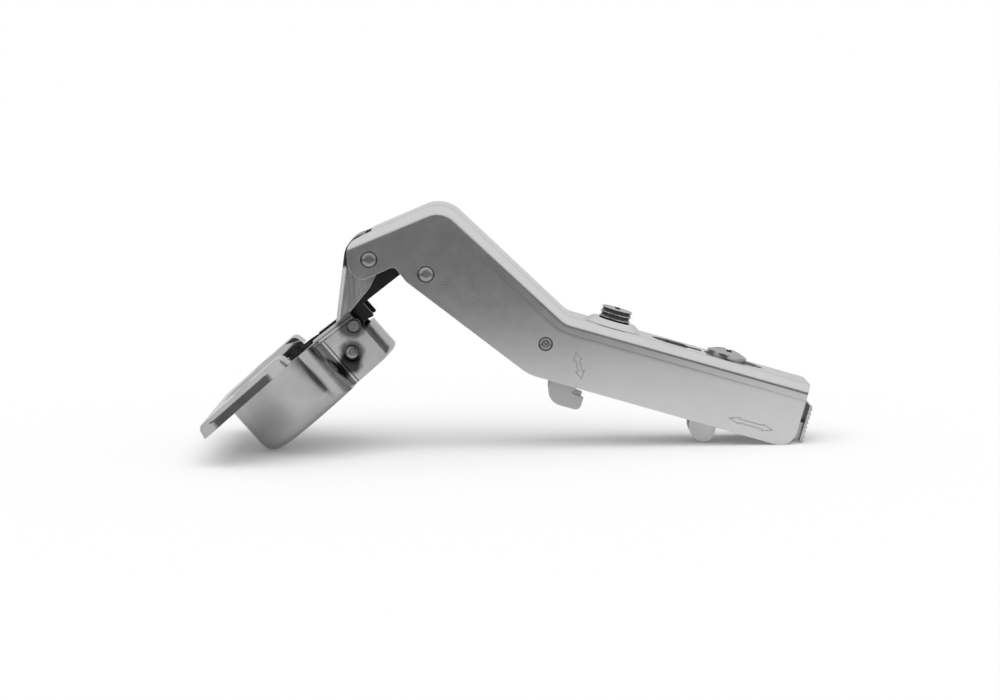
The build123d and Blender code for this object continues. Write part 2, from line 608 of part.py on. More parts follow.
def hook_slide():
    hook_low = REAR_HEIGHT + HOOK_DROP
    hook_end = HOOK_START + HOOK_LENGTH
    end = REAR_RUN - SLIDE_END_GAP
    neck = (hook_end - HOOK_NECK, slide_skirt)
    throat_top = (hook_end - HOOK_NECK, REAR_HEIGHT)
    throat = (hook_end - HOOK_THROAT, REAR_HEIGHT + HOOK_THROAT_DROP)
    claw = (hook_end, REAR_HEIGHT + HOOK_THROAT_DROP + FREE_GAP)
    heel = (hook_end, hook_low)
    toe = (HOOK_START, hook_low)
    back = ((end, slide_depth), (end, slide_skirt), neck)
    front = ((HOOK_START, slide_skirt), (slide_front, slide_skirt), (slide_front, slide_depth))
    wall = rail_face((*back, throat_top, throat, claw, heel, toe, *front))
    wall = rounded(wall, rail(*toe), 2 * HOOK_NECK)
    wall = rounded(wall, rail(*heel), CHANNEL_SHEET)
    wall = rounded(wall, rail(*throat), FREE_GAP)
    room = rail_block(-far, far, slide_depth + CHANNEL_SHEET, far)
    slide = prism(wall, slide_half) - prism(room, slide_inside)
    button = SlotCenterToCenter(2 * SLIDE_TRAVEL, 2 * (foot_radius + FREE_GAP))
    button = rail_frame(SIDE_SCREW_ALONG, slide_depth) * button
    cam_slot = Rectangle(CAM_STUD_DIAMETER + 2 * CAM_PLAY, 2 * (CAM_THROW + CAM_PLAY) + CAM_STUD_DIAMETER)
    cam_slot = rail_frame(CAM_ALONG, slide_depth) * cam_slot
    for hole in (button, cam_slot):
        slide = slide - extrude(hole, amount=2 * CHANNEL_SHEET, both=True)
    for along in (GUIDE_PIN_FRONT, GUIDE_PIN_REAR):
        slide = slide - cross_rod(rail(along, guide_depth), GUIDE_PIN_DIAMETER / 2 + PRESS_FIT, far)
    return slide - cross_rod(lever_pin, LEVER_PIN_DIAMETER / 2 + PRESS_FIT, far)


def lever_tab():
    """The thumb tab behind the arm, with saw teeth down its back."""
    tab_end = tab_along + TAB_SHEET
    tab = rail_block(tab_along, tab_end, TAB_TOP, TAB_TOP + TAB_HEIGHT)
    root = tab_end - TAB_SHEET / 2
    for index in range(tooth_count):
        top = TAB_TOP + index * tooth_pitch
        low = top + tooth_pitch
        tab = tab + rail_face(((root, top), (tab_end, top), (tab_end + TAB_TOOTH, low), (root, low)))
    return prism(tab, slide_half)


def release_lever():
    bar_top = LEVER_PIN_DEPTH - LEVER_BAR / 2
    bar_low = LEVER_PIN_DEPTH + LEVER_BAR / 2
    hook_low = REAR_HEIGHT + LEVER_HOOK_DROP
    hook_end = LEVER_HOOK_ALONG + LEVER_HOOK_LENGTH
    bar_back = ((tab_along, bar_top), (tab_along, bar_low), (hook_end, bar_low))
    bar_hook = ((hook_end, hook_low), (LEVER_HOOK_ALONG, hook_low))
    bar = rail_face(((LEVER_HOOK_ALONG, bar_top), *bar_back, *bar_hook))
    bar = rounded(bar, rail(LEVER_HOOK_ALONG, hook_low), LEVER_HOOK_DROP * 0.8)
    bar = rounded(bar, rail(hook_end, hook_low), LEVER_HOOK_DROP * 0.5)
    bar = rounded(bar, rail(hook_end, bar_low), LEVER_SHEET)
    lever = prism(bar, lever_half) - prism(bar, lever_inside) + lever_tab()
    return lever - cross_rod(lever_pin, LEVER_PIN_DIAMETER / 2 + RUN_FIT, far)


def cross_slot(length, width, depth):
    """Two crossed driver slots, cut down from the top of a screw head."""
    return Box(length, width, 2 * depth) + Box(width, length, 2 * depth)


def side_adjust_screw():
    """A grub screw with a captive foot; its thread is drawn as rings."""
    shoulder = CARRIER_DEPTH - screw_play
    length = SIDE_SCREW_ABOVE + shoulder
    radius = SIDE_SCREW_DIAMETER / 2
    screw = Pos(0, 0, SIDE_SCREW_ABOVE - length / 2) * Cylinder(radius, length)
    screw = chamfer(screw.edges().filter_by(GeomType.CIRCLE), THREAD_PITCH * 0.3)
    for index in range(int(length / THREAD_PITCH)):
        height = SIDE_SCREW_ABOVE - (index + 0.7) * THREAD_PITCH
        screw = screw - Pos(0, 0, height) * Torus(radius + THREAD_PITCH * 0.1, THREAD_PITCH * 0.42)
    foot_top = CARRIER_DEPTH + CHANNEL_SHEET + screw_play
    neck = Cylinder(SIDE_SCREW_NECK / 2, foot_top - shoulder + SCREW_FOOT_HEIGHT)
    neck = Pos(0, 0, -(shoulder + foot_top) / 2) * neck
    foot = Pos(0, 0, -foot_top - SCREW_FOOT_HEIGHT / 2) * Cylinder(foot_radius, SCREW_FOOT_HEIGHT)
    slot = cross_slot(SIDE_SCREW_DIAMETER * 0.75, DRIVER_SLOT, DRIVER_SLOT_DEPTH)
    return rail_frame(SIDE_SCREW_ALONG, 0) * (screw + neck + foot - Pos(0, 0, SIDE_SCREW_ABOVE) * slot)


def depth_cam_screw():
    """A domed cross-slot head on a shaft with an off-centre stud under it."""
    radius = CAM_HEAD_DIAMETER / 2
    dome_height = CAM_HEAD_ABOVE * 0.5
    ball = (radius**2 + dome_height**2) / (2 * dome_height)
    dome = Pos(0, 0, CAM_HEAD_ABOVE - ball) * Sphere(ball)
    head_low = -ARM_SHEET / 2
    blank = Pos(0, 0, (CAM_HEAD_ABOVE + head_low) / 2) * Cylinder(radius, CAM_HEAD_ABOVE - head_low)
    slot = Pos(0, 0, CAM_HEAD_ABOVE) * cross_slot(radius * 1.3, DRIVER_SLOT, DRIVER_SLOT_DEPTH)
    head = (blank & dome) - slot
    collar_height = CARRIER_DEPTH + head_low - RUN_FIT
    collar = Cylinder((CAM_HEAD_DIAMETER + CAM_SHAFT_DIAMETER) / 4, collar_height)
    collar = Pos(0, 0, head_low - collar_height / 2) * collar
    shaft_low = CARRIER_DEPTH + CHANNEL_SHEET + FREE_GAP / 2
    shaft = Pos(0, 0, -shaft_low / 2) * Cylinder(CAM_SHAFT_DIAMETER / 2, shaft_low)
    stud_low = slide_depth + CHANNEL_SHEET
    stud_top = CARRIER_DEPTH + CHANNEL_SHEET
    stud = Cylinder(CAM_STUD_DIAMETER / 2, stud_low - stud_top)
    stud = Pos(0, -CAM_THROW, -(stud_top + stud_low) / 2) * stud
    return rail_frame(CAM_ALONG, 0) * (head + collar + shaft + stud)


def save(node, shape):
    export_step(stand * shape, f"parts/{node}.step")


save("hinge_cup", hinge_cup())
save("cup_upper_pin", cross_rod(upper_cup_pin, upper_pin_radius, cup_flat + FREE_GAP))
save("cup_lower_pin", rivet(lower_cup_pin, lower_pin_radius, cup_flat, RIVET_DISH))
spring_half = inner_link_inside - FREE_GAP
save("closing_spring", coil(upper_cup_pin, SPRING_WIRE, upper_pin_radius + RUN_FIT, spring_half))
save("outer_link", outer_link())
save("inner_link", inner_link())
save("hinge_arm", hinge_arm())
save("arm_front_rivet", rivet(front_pin, arm_pin_radius, arm_half, RIVET_DISH))
save("arm_rear_rivet", rivet(rear_pin, arm_pin_radius, arm_half, RIVET_DISH))
save("carrier_rivet", rivet(carrier_pin, CARRIER_PIN_DIAMETER / 2, arm_half, RIVET_DISH))
save("tilt_carrier", tilt_carrier())
save("side_adjust_screw", side_adjust_screw())
save("depth_cam_screw", depth_cam_screw())
save("hook_slide", hook_slide())
for name, along in (("guide_pin_front", GUIDE_PIN_FRONT), ("guide_pin_rear", GUIDE_PIN_REAR)):
    save(name, cross_rod(rail(along, guide_depth), GUIDE_PIN_DIAMETER / 2, carrier_half))
save("release_lever", release_lever())
save("lever_pin", cross_rod(lever_pin, LEVER_PIN_DIAMETER / 2, slide_half))
spring_half = lever_inside - FREE_GAP
save("lever_spring", coil(lever_pin, SPRING_WIRE, LEVER_PIN_DIAMETER / 2 + RUN_FIT, spring_half))
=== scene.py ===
# %% [markdown]
# A concealed hinge in Blender
# This lesson dresses a cabinet hinge that was built and packed in CAD.
# The CAD model is loaded as a fixed frame, so every finish lands on the real solids and every new piece goes
# where those solids say.

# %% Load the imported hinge
import bpy
import bmesh
import json
from math import cos, sin, radians
from mathutils import Matrix, Vector


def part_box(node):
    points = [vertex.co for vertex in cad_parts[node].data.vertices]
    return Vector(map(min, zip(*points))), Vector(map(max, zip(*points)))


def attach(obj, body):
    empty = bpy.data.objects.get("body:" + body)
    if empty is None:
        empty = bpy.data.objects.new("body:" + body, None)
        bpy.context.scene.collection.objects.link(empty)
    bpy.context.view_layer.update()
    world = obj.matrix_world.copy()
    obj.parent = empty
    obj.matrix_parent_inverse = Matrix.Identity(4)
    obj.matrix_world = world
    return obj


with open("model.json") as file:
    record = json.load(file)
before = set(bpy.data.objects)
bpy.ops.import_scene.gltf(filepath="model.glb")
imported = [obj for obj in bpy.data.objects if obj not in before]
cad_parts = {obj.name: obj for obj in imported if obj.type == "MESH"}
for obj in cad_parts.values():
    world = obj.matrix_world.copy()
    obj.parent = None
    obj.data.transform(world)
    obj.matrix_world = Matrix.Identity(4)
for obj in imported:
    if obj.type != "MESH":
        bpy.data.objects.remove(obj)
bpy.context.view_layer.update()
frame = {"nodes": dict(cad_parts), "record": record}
nodes = frame["nodes"]

# %% [markdown]
# The photograph looks almost straight at the hinge's side from a little above, through a 100 mm lens held a good
# half metre away.
# A camera could be aimed with a Track To constraint, but here its place and its three turns were worked out from
# the pins, screws and corners in the photograph, so its matrix is written directly.

# %% Camera
EYE = Vector((0.00115, -0.579, 0.0813))
TURN, RISE, ROLL = radians(0.3173), radians(6.0646), radians(-1.0435)
SENSOR_MM, LENS_MM, NEAREST = 36.0, 100.53, 0.01
back = Vector((sin(TURN) * cos(RISE), -cos(TURN) * cos(RISE), sin(RISE)))
right = Vector((cos(TURN), sin(TURN), 0))
up = back.cross(right)
axes = Matrix((right * cos(ROLL) + up * sin(ROLL), up * cos(ROLL) - right * sin(ROLL), back)).transposed()
camera_data = bpy.data.cameras.new("camera")
camera_data.sensor_width = SENSOR_MM
camera_data.lens = LENS_MM
camera_data.clip_start = NEAREST
camera = bpy.data.objects.new("camera", camera_data)
camera.matrix_world = Matrix.Translation(EYE) @ axes.to_4x4()
scene = bpy.context.scene
scene.collection.objects.link(camera)
scene.camera = camera
print("camera at", [round(v, 3) for v in camera.matrix_world.translation])

# %% [markdown]
# The hinge stands on white paper in a plain white room.
# The room is the world background. It is fully white where the camera or a shiny surface looks at it, and weaker
# as a lamp, so that the shadows keep some depth.

# %% Colour handling and world
def looked_at(tree):
    """One where the camera, a reflection or a see-through ray looks, nought for scattered light."""
    path = tree.nodes.new("ShaderNodeLightPath")
    seen = tree.nodes.new("ShaderNodeMath")
    seen.operation = "MAXIMUM"
    tree.links.new(path.outputs["Is Camera Ray"], seen.inputs[0])
    tree.links.new(path.outputs["Is Glossy Ray"], seen.inputs[1])
    through = tree.nodes.new("ShaderNodeMath")
    through.operation = "MAXIMUM"
    tree.links.new(seen.outputs[0], through.inputs[0])
    tree.links.new(path.outputs["Is Transmission Ray"], through.inputs[1])
    return through.outputs[0]


ROOM_AS_LAMP, ROOM_AS_SEEN = 0.62, 1.0
scene.view_settings.view_transform = "Standard"
world = bpy.data.worlds.new("studio")
scene.world = world
world.use_nodes = True
background = world.node_tree.nodes["Background"]
background.inputs["Color"].default_value = (1, 1, 1, 1)
level = world.node_tree.nodes.new("ShaderNodeMapRange")
level.inputs["To Min"].default_value = ROOM_AS_LAMP
level.inputs["To Max"].default_value = ROOM_AS_SEEN
world.node_tree.links.new(looked_at(world.node_tree), level.inputs["Value"])
world.node_tree.links.new(level.outputs["Result"], background.inputs["Strength"])
print("room lights with", ROOM_AS_LAMP, "and is seen as", ROOM_AS_SEEN)

# %% [markdown]
# The floor is one big sheet of matt paper.
# Lit paper comes out a little grey, so it glows faintly towards the camera and in reflections. It reads as white
# there, and the hinge's shadow stays on it.

# %% Paper floor
def plate(name, corners):
    """A flat four-cornered sheet of the studio."""
    mesh = bpy.data.meshes.new(name)
    shape = bmesh.new()
    shape.faces.new([shape.verts.new(c) for c in corners])
    shape.to_mesh(mesh)
    shape.free()
    piece = bpy.data.objects.new(name, mesh)
    scene.collection.objects.link(piece)
    return piece


HALF = 6.0
PAPER, PAPER_GLOW = 0.86, 0.11
floor = plate("paper_floor", [(-HALF, -HALF, 0), (HALF, -HALF, 0), (HALF, HALF, 0), (-HALF, HALF, 0)])
paper = bpy.data.materials.new("white_paper")
paper.use_nodes = True
tree = paper.node_tree
tree.nodes.clear()
output = tree.nodes.new("ShaderNodeOutputMaterial")
matte = tree.nodes.new("ShaderNodeBsdfDiffuse")
matte.inputs["Color"].default_value = (PAPER, PAPER, PAPER, 1)
glow = tree.nodes.new("ShaderNodeEmission")
glow.inputs["Color"].default_value = (1, 1, 1, 1)
both = tree.nodes.new("ShaderNodeAddShader")
lift = tree.nodes.new("ShaderNodeMath")
lift.operation = "MULTIPLY"
lift.inputs[1].default_value = PAPER_GLOW
tree.links.new(looked_at(tree), lift.inputs[0])
tree.links.new(lift.outputs[0], glow.inputs["Strength"])
tree.links.new(matte.outputs[0], both.inputs[0])
tree.links.new(glow.outputs[0], both.inputs[1])
tree.links.new(both.outputs[0], output.inputs["Surface"])
floor.data.materials.append(paper)
print("floor", HALF * 2, "m wide")

# %% [markdown]
# A big softbox hangs over the camera and lights the paper evenly.
# A sun lamp with a very wide disc stands for it: it has no falloff, its shadows are soft, and coming from the
# front it puts them under and behind the hinge as in the photograph.
# The disc is hidden from reflections, because it would lie as a white patch on the folds of the metal.

# %% Soft lamp
LAMP_STRENGTH, LAMP_WIDTH, LAMP_AIM = 1.5, radians(80), Vector((0.10, 0.55, -1))
sun_data = bpy.data.lights.new("wide_softbox", "SUN")
sun_data.energy = LAMP_STRENGTH
sun_data.angle = LAMP_WIDTH
sun = bpy.data.objects.new("wide_softbox", sun_data)
sun.rotation_euler = LAMP_AIM.to_track_quat("-Z", "Y").to_euler()
sun.visible_glossy = False
scene.collection.objects.link(sun)

# %% [markdown]
# Bright metal shows its surroundings, and in an all-white room it looks flat.
# A photographer stands dark cards around it. This one stands low across the front and is seen only in reflections,
# so the tall part of the arm mirrors the dark card and its low rear part mirrors the white paper.

# %% Dark card
def dark_card(name, corners, shade):
    """A grey sheet that shows in reflections alone."""
    card = plate(name, corners)
    finish = bpy.data.materials.new(name)
    finish.use_nodes = True
    tree = finish.node_tree
    tree.nodes.clear()
    output = tree.nodes.new("ShaderNodeOutputMaterial")
    glow = tree.nodes.new("ShaderNodeEmission")
    glow.inputs["Color"].default_value = (shade, shade, shade, 1)
    tree.links.new(glow.outputs[0], output.inputs["Surface"])
    card.data.materials.append(finish)
    card.visible_camera = False
    card.visible_diffuse = False
    card.visible_shadow = False
    card.visible_transmission = False


CARD_Y, CARD_FOOT, CARD_TOP, CARD_SIDE, CARD_GREY = -0.183, 0.001, 0.070, 0.30, 0.15
low_left, low_right = (-CARD_SIDE, CARD_Y, CARD_FOOT), (CARD_SIDE, CARD_Y, CARD_FOOT)
top_right, top_left = (CARD_SIDE, CARD_Y, CARD_TOP), (-CARD_SIDE, CARD_Y, CARD_TOP)
dark_card("front_card", [low_left, low_right, top_right, top_left], CARD_GREY)
print("card", CARD_TOP, "m tall")

# %% [markdown]
# Every piece of a hinge is plated steel, so one helper makes all the finishes.
# Real plating is never quite even: the colour is a little cloudy, the shine is smeared, and a very fine grain
# breaks up the reflections. Three noises on the Object coordinates give those three things.
# The cut edges of sheet are slightly rolled over by the press. Bending the normal there with a Bevel node gives
# the thin bright line that such edges have.
# Metal turns white where it is seen at a glancing angle. A grey Specular Tint holds that back, so that the folds
# along the roof stay grey.

# %% Metal finishes
def bump(tree, height, millimetres, normal):
    """Bends the normal as if the surface rose by so many millimetres where the height is one."""
    node = tree.nodes.new("ShaderNodeBump")
    node.inputs["Strength"].default_value = 1.0
    node.inputs["Distance"].default_value = millimetres / 1000
    tree.links.new(height, node.inputs["Height"])
    tree.links.new(normal, node.inputs["Normal"])
    return node


GRAIN, GRAIN_MM, EDGE_MM, EDGE_SAMPLES = 9000.0, 0.0003, 0.12, 6
CLOUDS, SMEARS = 90.0, 350.0
NOISE_LOW, NOISE_HIGH = 0.3, 0.7
GLANCE = 0.7


def metal(name, colour, roughness, cloud=0.05, smear=0.04, streak=(1, 1, 1)):
    """A plated metal: cloudy colour, uneven shine, rolled edges and a fine grain."""
    finish = bpy.data.materials.new(name)
    finish.use_nodes = True
    tree = finish.node_tree
    shader = tree.nodes["Principled BSDF"]
    shader.inputs["Metallic"].default_value = 1.0
    shader.inputs["Specular Tint"].default_value = (GLANCE, GLANCE, GLANCE, 1)
    place = tree.nodes.new("ShaderNodeTexCoord")
    place.name = "place"
    stretch = tree.nodes.new("ShaderNodeMapping")
    stretch.inputs["Scale"].default_value = streak
    tree.links.new(place.outputs["Object"], stretch.inputs["Vector"])

    def noise(scale, detail):
        texture = tree.nodes.new("ShaderNodeTexNoise")
        texture.inputs["Scale"].default_value = scale
        texture.inputs["Detail"].default_value = detail
        tree.links.new(stretch.outputs[0], texture.inputs["Vector"])
        return texture.outputs["Fac"]

    tint = tree.nodes.new("ShaderNodeValToRGB")
    tint.name = "tint"
    tint.color_ramp.elements[0].position = NOISE_LOW
    tint.color_ramp.elements[1].position = NOISE_HIGH
    tint.color_ramp.elements[0].color = [c * (1 - cloud) for c in colour] + [1]
    tint.color_ramp.elements[1].color = [min(1, c * (1 + cloud)) for c in colour] + [1]
    tree.links.new(noise(CLOUDS, 4.0), tint.inputs["Fac"])
    tree.links.new(tint.outputs["Color"], shader.inputs["Base Color"])
    shine = tree.nodes.new("ShaderNodeMapRange")
    shine.inputs["From Min"].default_value = NOISE_LOW
    shine.inputs["From Max"].default_value = NOISE_HIGH
    shine.inputs["To Min"].default_value = roughness - smear
    shine.inputs["To Max"].default_value = roughness + smear
    tree.links.new(noise(SMEARS, 3.0), shine.inputs["Value"])
    tree.links.new(shine.outputs["Result"], shader.inputs["Roughness"])
    edge = tree.nodes.new("ShaderNodeBevel")
    edge.samples = EDGE_SAMPLES
    edge.inputs["Radius"].default_value = EDGE_MM / 1000
    skin = bump(tree, noise(GRAIN, 2.0), GRAIN_MM, edge.outputs["Normal"])
    skin.name = "skin"
    tree.links.new(skin.outputs["Normal"], shader.inputs["Normal"])
    return finish


finishes = {
    "arm_nickel": metal("satin_nickel", (0.62, 0.62, 0.62), 0.22, cloud=0.02, smear=0.015),
    "cup_steel": metal("drawn_steel", (0.44, 0.44, 0.44), 0.19, cloud=0.14),
    "link_steel": metal("bright_link_steel", (0.50, 0.50, 0.50), 0.26, cloud=0.25, streak=(4, 4, 0.6)),
    # painted shade: the inner link sits in shade inside the arm, and its near-black colour stands for that shade
    "dark_steel": metal("painted_shade_link_steel", (0.035, 0.035, 0.035), 0.35),
    "pin_steel": metal("turned_pin_steel", (0.30, 0.30, 0.30), 0.28, cloud=0.2),
    "spring_steel": metal("spring_wire", (0.3, 0.3, 0.3), 0.3),
    "channel_steel": metal("channel_sheet", (0.4, 0.4, 0.4), 0.4),
    "hook_steel": metal("hook_sheet", (0.5, 0.5, 0.5), 0.36),
    "lever_steel": metal("lever_sheet", (0.56, 0.56, 0.56), 0.36),
    "screw_zinc": metal("zinc_screw", (0.42, 0.42, 0.42), 0.16),
}
slots = {s["node"]: s["material_slot"] for s in frame["record"]["subparts"]}
for name, node in nodes.items():
    node.data.materials.clear()
    node.data.materials.append(finishes[slots[name]])
print("finishes:", len(finishes))

# %% [markdown]
# The arm is folded from one strip, and a soft line runs along both walls, about four millimetres below the roof.
# Above it the wall seems to lean in, perhaps by some hundredths of a millimetre.
# That is far too shallow to model. The depth below the three straight roof lines is worked out from the Object
# coordinates, and a bump rises from the roof down to that line and stays level below it.

# %% Press line on the arm
def depth_below(tree, point, angle):
    """Distance below a line through a point of the side view, falling or rising at an angle."""
    normal = Vector((-sin(radians(angle)), 0, cos(radians(angle))))
    dot = tree.nodes.new("ShaderNodeVectorMath")
    dot.operation = "DOT_PRODUCT"
    dot.inputs[1].default_value = normal
    tree.links.new(tree.nodes["place"].outputs["Object"], dot.inputs[0])
    depth = tree.nodes.new("ShaderNodeMath")
    depth.operation = "SUBTRACT"
    depth.inputs[0].default_value = normal.dot(Vector((point[0], 0, point[1])))
    tree.links.new(dot.outputs["Value"], depth.inputs[1])
    return depth.outputs[0]


def choose(tree, operation, first, second, softness):
    """Joins two values with a Math node; the softness rounds a smooth minimum or maximum."""
    node = tree.nodes.new("ShaderNodeMath")
    node.operation = operation
    node.inputs[2].default_value = softness
    tree.links.new(first, node.inputs[0])
    tree.links.new(second, node.inputs[1])
    return node.outputs[0]


def under_skin(finish, height, millimetres):
    """Adds a broader bump beneath a finish's fine grain."""
    tree = finish.node_tree
    skin = tree.nodes["skin"]
    before = skin.inputs["Normal"].links[0].from_socket
    broad = bump(tree, height, millimetres, before)
    tree.links.new(broad.outputs["Normal"], skin.inputs["Normal"])


def step(start, length, angle):
    """The next corner along the arm's roof."""
    return (start[0] + length * cos(radians(angle)), start[1] + length * sin(radians(angle)))


def middle(node):
    """The middle of a solid's box."""
    low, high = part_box(node)
    return [(a + b) / 2 for a, b in zip(low, high)]


FRONT, DIAGONAL, REAR = 22.2, -44.3, -16.9
PIN_TO_ROOF, PIN_TO_ROOF_ANGLE = 0.0060, 85.0
FRONT_RUN, DIAGONAL_RUN = 0.0162, 0.0351
ELBOW_SOFT, KNEE_SOFT = 0.006, 0.002
BAND, LINE_SHARE, LEAN_MM = 0.006, 0.65, 0.05
pin = middle("arm_front_rivet")
roof_front = step((pin[0], pin[2]), PIN_TO_ROOF, PIN_TO_ROOF_ANGLE)
elbow = step(roof_front, FRONT_RUN, FRONT)
knee = step(elbow, DIAGONAL_RUN, DIAGONAL)
tree = finishes["arm_nickel"].node_tree
under_front, under_diagonal = depth_below(tree, elbow, FRONT), depth_below(tree, elbow, DIAGONAL)
ahead = choose(tree, "SMOOTH_MIN", under_front, under_diagonal, ELBOW_SOFT)
depth = choose(tree, "SMOOTH_MAX", ahead, depth_below(tree, knee, REAR), KNEE_SOFT)
share = tree.nodes.new("ShaderNodeMapRange")
share.inputs["From Max"].default_value = BAND
tree.links.new(depth, share.inputs["Value"])
lean = tree.nodes.new("ShaderNodeValToRGB")
lean.color_ramp.interpolation = "B_SPLINE"
for place, height in ((LINE_SHARE - 0.1, 0.85), (LINE_SHARE, 1.0), (LINE_SHARE + 0.1, 1.0)):
    lean.color_ramp.elements.new(place).color = (height, height, height, 1)
tree.links.new(share.outputs["Result"], lean.inputs["Fac"])
under_skin(finishes["arm_nickel"], lean.outputs["Color"], LEAN_MM)
print("press line about", round(LINE_SHARE * BAND * 1000, 1), "mm under the roof")

# %% [markdown]
# The cup is drawn from flat sheet, and a drawn cup is often a little wider at its mouth, so that it leaves the
# die.
# A draft of about three degrees, which is a guess, turns its walls slightly downwards, towards the paper. A bump
# that rises evenly towards the mouth turns the normals by that angle, and leaves the floor and the flange alone.
# The solid's wall stays straight, so the draft shows in the shading and not in the outline.

# %% Draft of the cup
CUP_LEAN = radians(40.4)
DRAFT_MM_PER_METRE = 50
tree = finishes["cup_steel"].node_tree
rise = tree.nodes.new("ShaderNodeVectorMath")
rise.operation = "DOT_PRODUCT"
rise.inputs[1].default_value = (-sin(CUP_LEAN), 0, cos(CUP_LEAN))
tree.links.new(tree.nodes["place"].outputs["Object"], rise.inputs[0])
under_skin(finishes["cup_steel"], rise.outputs["Value"], DRAFT_MM_PER_METRE)
print("draft slope", DRAFT_MM_PER_METRE / 1000)

# %% [markdown]
# Shade falls round the cup's two pins and below the lower one, in the crease beside them, on the rims of the
# rivets, in the roots of the thread and on the curled top of the outer link.
# Grease and wear would look like that, but so would shadow, and one picture does not tell which it is.
# All of it is painted shade: dark patches in the base colour, so they move with their piece. Each patch is a soft
# mask made from the distance to an axis or from the height, and noise tears the edge of those round the pins.

# %% Painted shade on the cup
def soft_mask(tree, value, none, full):
    """Nought on one side of a value, one on the other, and smooth between the two given limits."""
    mask = tree.nodes.new("ShaderNodeMapRange")
    mask.interpolation_type = "SMOOTHSTEP"
    mask.inputs["From Min"].default_value = none
    mask.inputs["From Max"].default_value = full
    tree.links.new(value, mask.inputs["Value"])
    return mask.outputs["Result"]


def axis_distance(tree, x, z):
    """Distance from a line across the hinge, seen from the side."""
    flat = tree.nodes.new("ShaderNodeVectorMath")
    flat.operation = "MULTIPLY"
    flat.inputs[1].default_value = (1, 0, 1)
    tree.links.new(tree.nodes["place"].outputs["Object"], flat.inputs[0])
    gap = tree.nodes.new("ShaderNodeVectorMath")
    gap.operation = "DISTANCE"
    gap.inputs[1].default_value = (x, 0, z)
    tree.links.new(flat.outputs[0], gap.inputs[0])
    return gap.outputs["Value"]


def streak_distance(tree, x, z, angle, half_length, half_width):
    """Nought in the middle of a long thin patch of the side view and one at its rim."""
    frame_of_patch = tree.nodes.new("ShaderNodeCombineXYZ")
    across = (depth_below(tree, (x, z), angle), half_width), (depth_below(tree, (x, z), angle + 90), half_length)
    for slot, (distance, reach) in enumerate(across):
        share = tree.nodes.new("ShaderNodeMath")
        share.operation = "DIVIDE"
        share.inputs[1].default_value = reach
        tree.links.new(distance, share.inputs[0])
        tree.links.new(share.outputs[0], frame_of_patch.inputs[slot])
    length = tree.nodes.new("ShaderNodeVectorMath")
    length.operation = "LENGTH"
    tree.links.new(frame_of_patch.outputs[0], length.inputs[0])
    return length.outputs["Value"]


def leaning_radius(tree, foot, angle):
    """Distance from an axis that leans in the side view."""
    offset = tree.nodes.new("ShaderNodeVectorMath")
    offset.operation = "SUBTRACT"
    offset.inputs[1].default_value = (foot[0], 0, foot[1])
    tree.links.new(tree.nodes["place"].outputs["Object"], offset.inputs[0])
    sideways = tree.nodes.new("ShaderNodeVectorMath")
    sideways.operation = "CROSS_PRODUCT"
    sideways.inputs[1].default_value = (cos(radians(angle)), 0, sin(radians(angle)))
    tree.links.new(offset.outputs[0], sideways.inputs[0])
    radius = tree.nodes.new("ShaderNodeVectorMath")
    radius.operation = "LENGTH"
    tree.links.new(sideways.outputs[0], radius.inputs[0])
    return radius.outputs["Value"]


def darken(finish, mask, shade):
    """Multiplies the base colour by a shade where the mask is one."""
    tree = finish.node_tree
    colour = tree.nodes["Principled BSDF"].inputs["Base Color"]
    mix = tree.nodes.new("ShaderNodeMix")
    mix.data_type = "RGBA"
    mix.blend_type = "MULTIPLY"
    tree.links.new(mask, mix.inputs[0])
    tree.links.new(colour.links[0].from_socket, mix.inputs[6])
    mix.inputs[7].default_value = (shade, shade, shade, 1)
    tree.links.new(mix.outputs[2], colour)


def torn(tree, value, scale, amount):
    """Adds a fine noise to a distance, so that a mask made from it has a ragged edge."""
    noise = tree.nodes.new("ShaderNodeTexNoise")
    noise.inputs["Scale"].default_value = scale
    noise.inputs["Detail"].default_value = 3.0
    tree.links.new(tree.nodes["place"].outputs["Object"], noise.inputs["Vector"])
    swing = tree.nodes.new("ShaderNodeMath")
    swing.operation = "MULTIPLY_ADD"
    swing.inputs[1].default_value = amount
    tree.links.new(noise.outputs["Fac"], swing.inputs[0])
    tree.links.new(value, swing.inputs[2])
    return swing.outputs[0]


cup = finishes["cup_steel"]
tree = cup.node_tree
lower, upper = middle("cup_lower_pin"), middle("cup_upper_pin")
PATCH_NOISE, PATCH_RAG, PATCH_FADE, PATCH_CORE = 700.0, 0.0012, 0.0010, 0.0004
# painted shade round the cup's two pins and below the lower one; x, z, reach and shade of each patch
patches = (
    (upper[0] - 0.0004, upper[2] + 0.0004, 0.0033, 0.24),
    (lower[0], lower[2], 0.0028, 0.24),
    (lower[0] - 0.0004, lower[2] - 0.0023, 0.0026, 0.10),
)
for x, z, reach, shade in patches:
    ragged = torn(tree, axis_distance(tree, x, z), PATCH_NOISE, PATCH_RAG)
    darken(cup, soft_mask(tree, ragged, reach + PATCH_FADE, reach - PATCH_CORE), shade)
# painted shade in the crease beside the pins
CREASE_SHADE = 0.38
crease = streak_distance(tree, x=-0.0393, z=0.0164, angle=-48.0, half_length=0.0048, half_width=0.0008)
darken(cup, soft_mask(tree, crease, 1.3, 0.4), CREASE_SHADE)
print("patches on the cup:", len(patches) + 1)
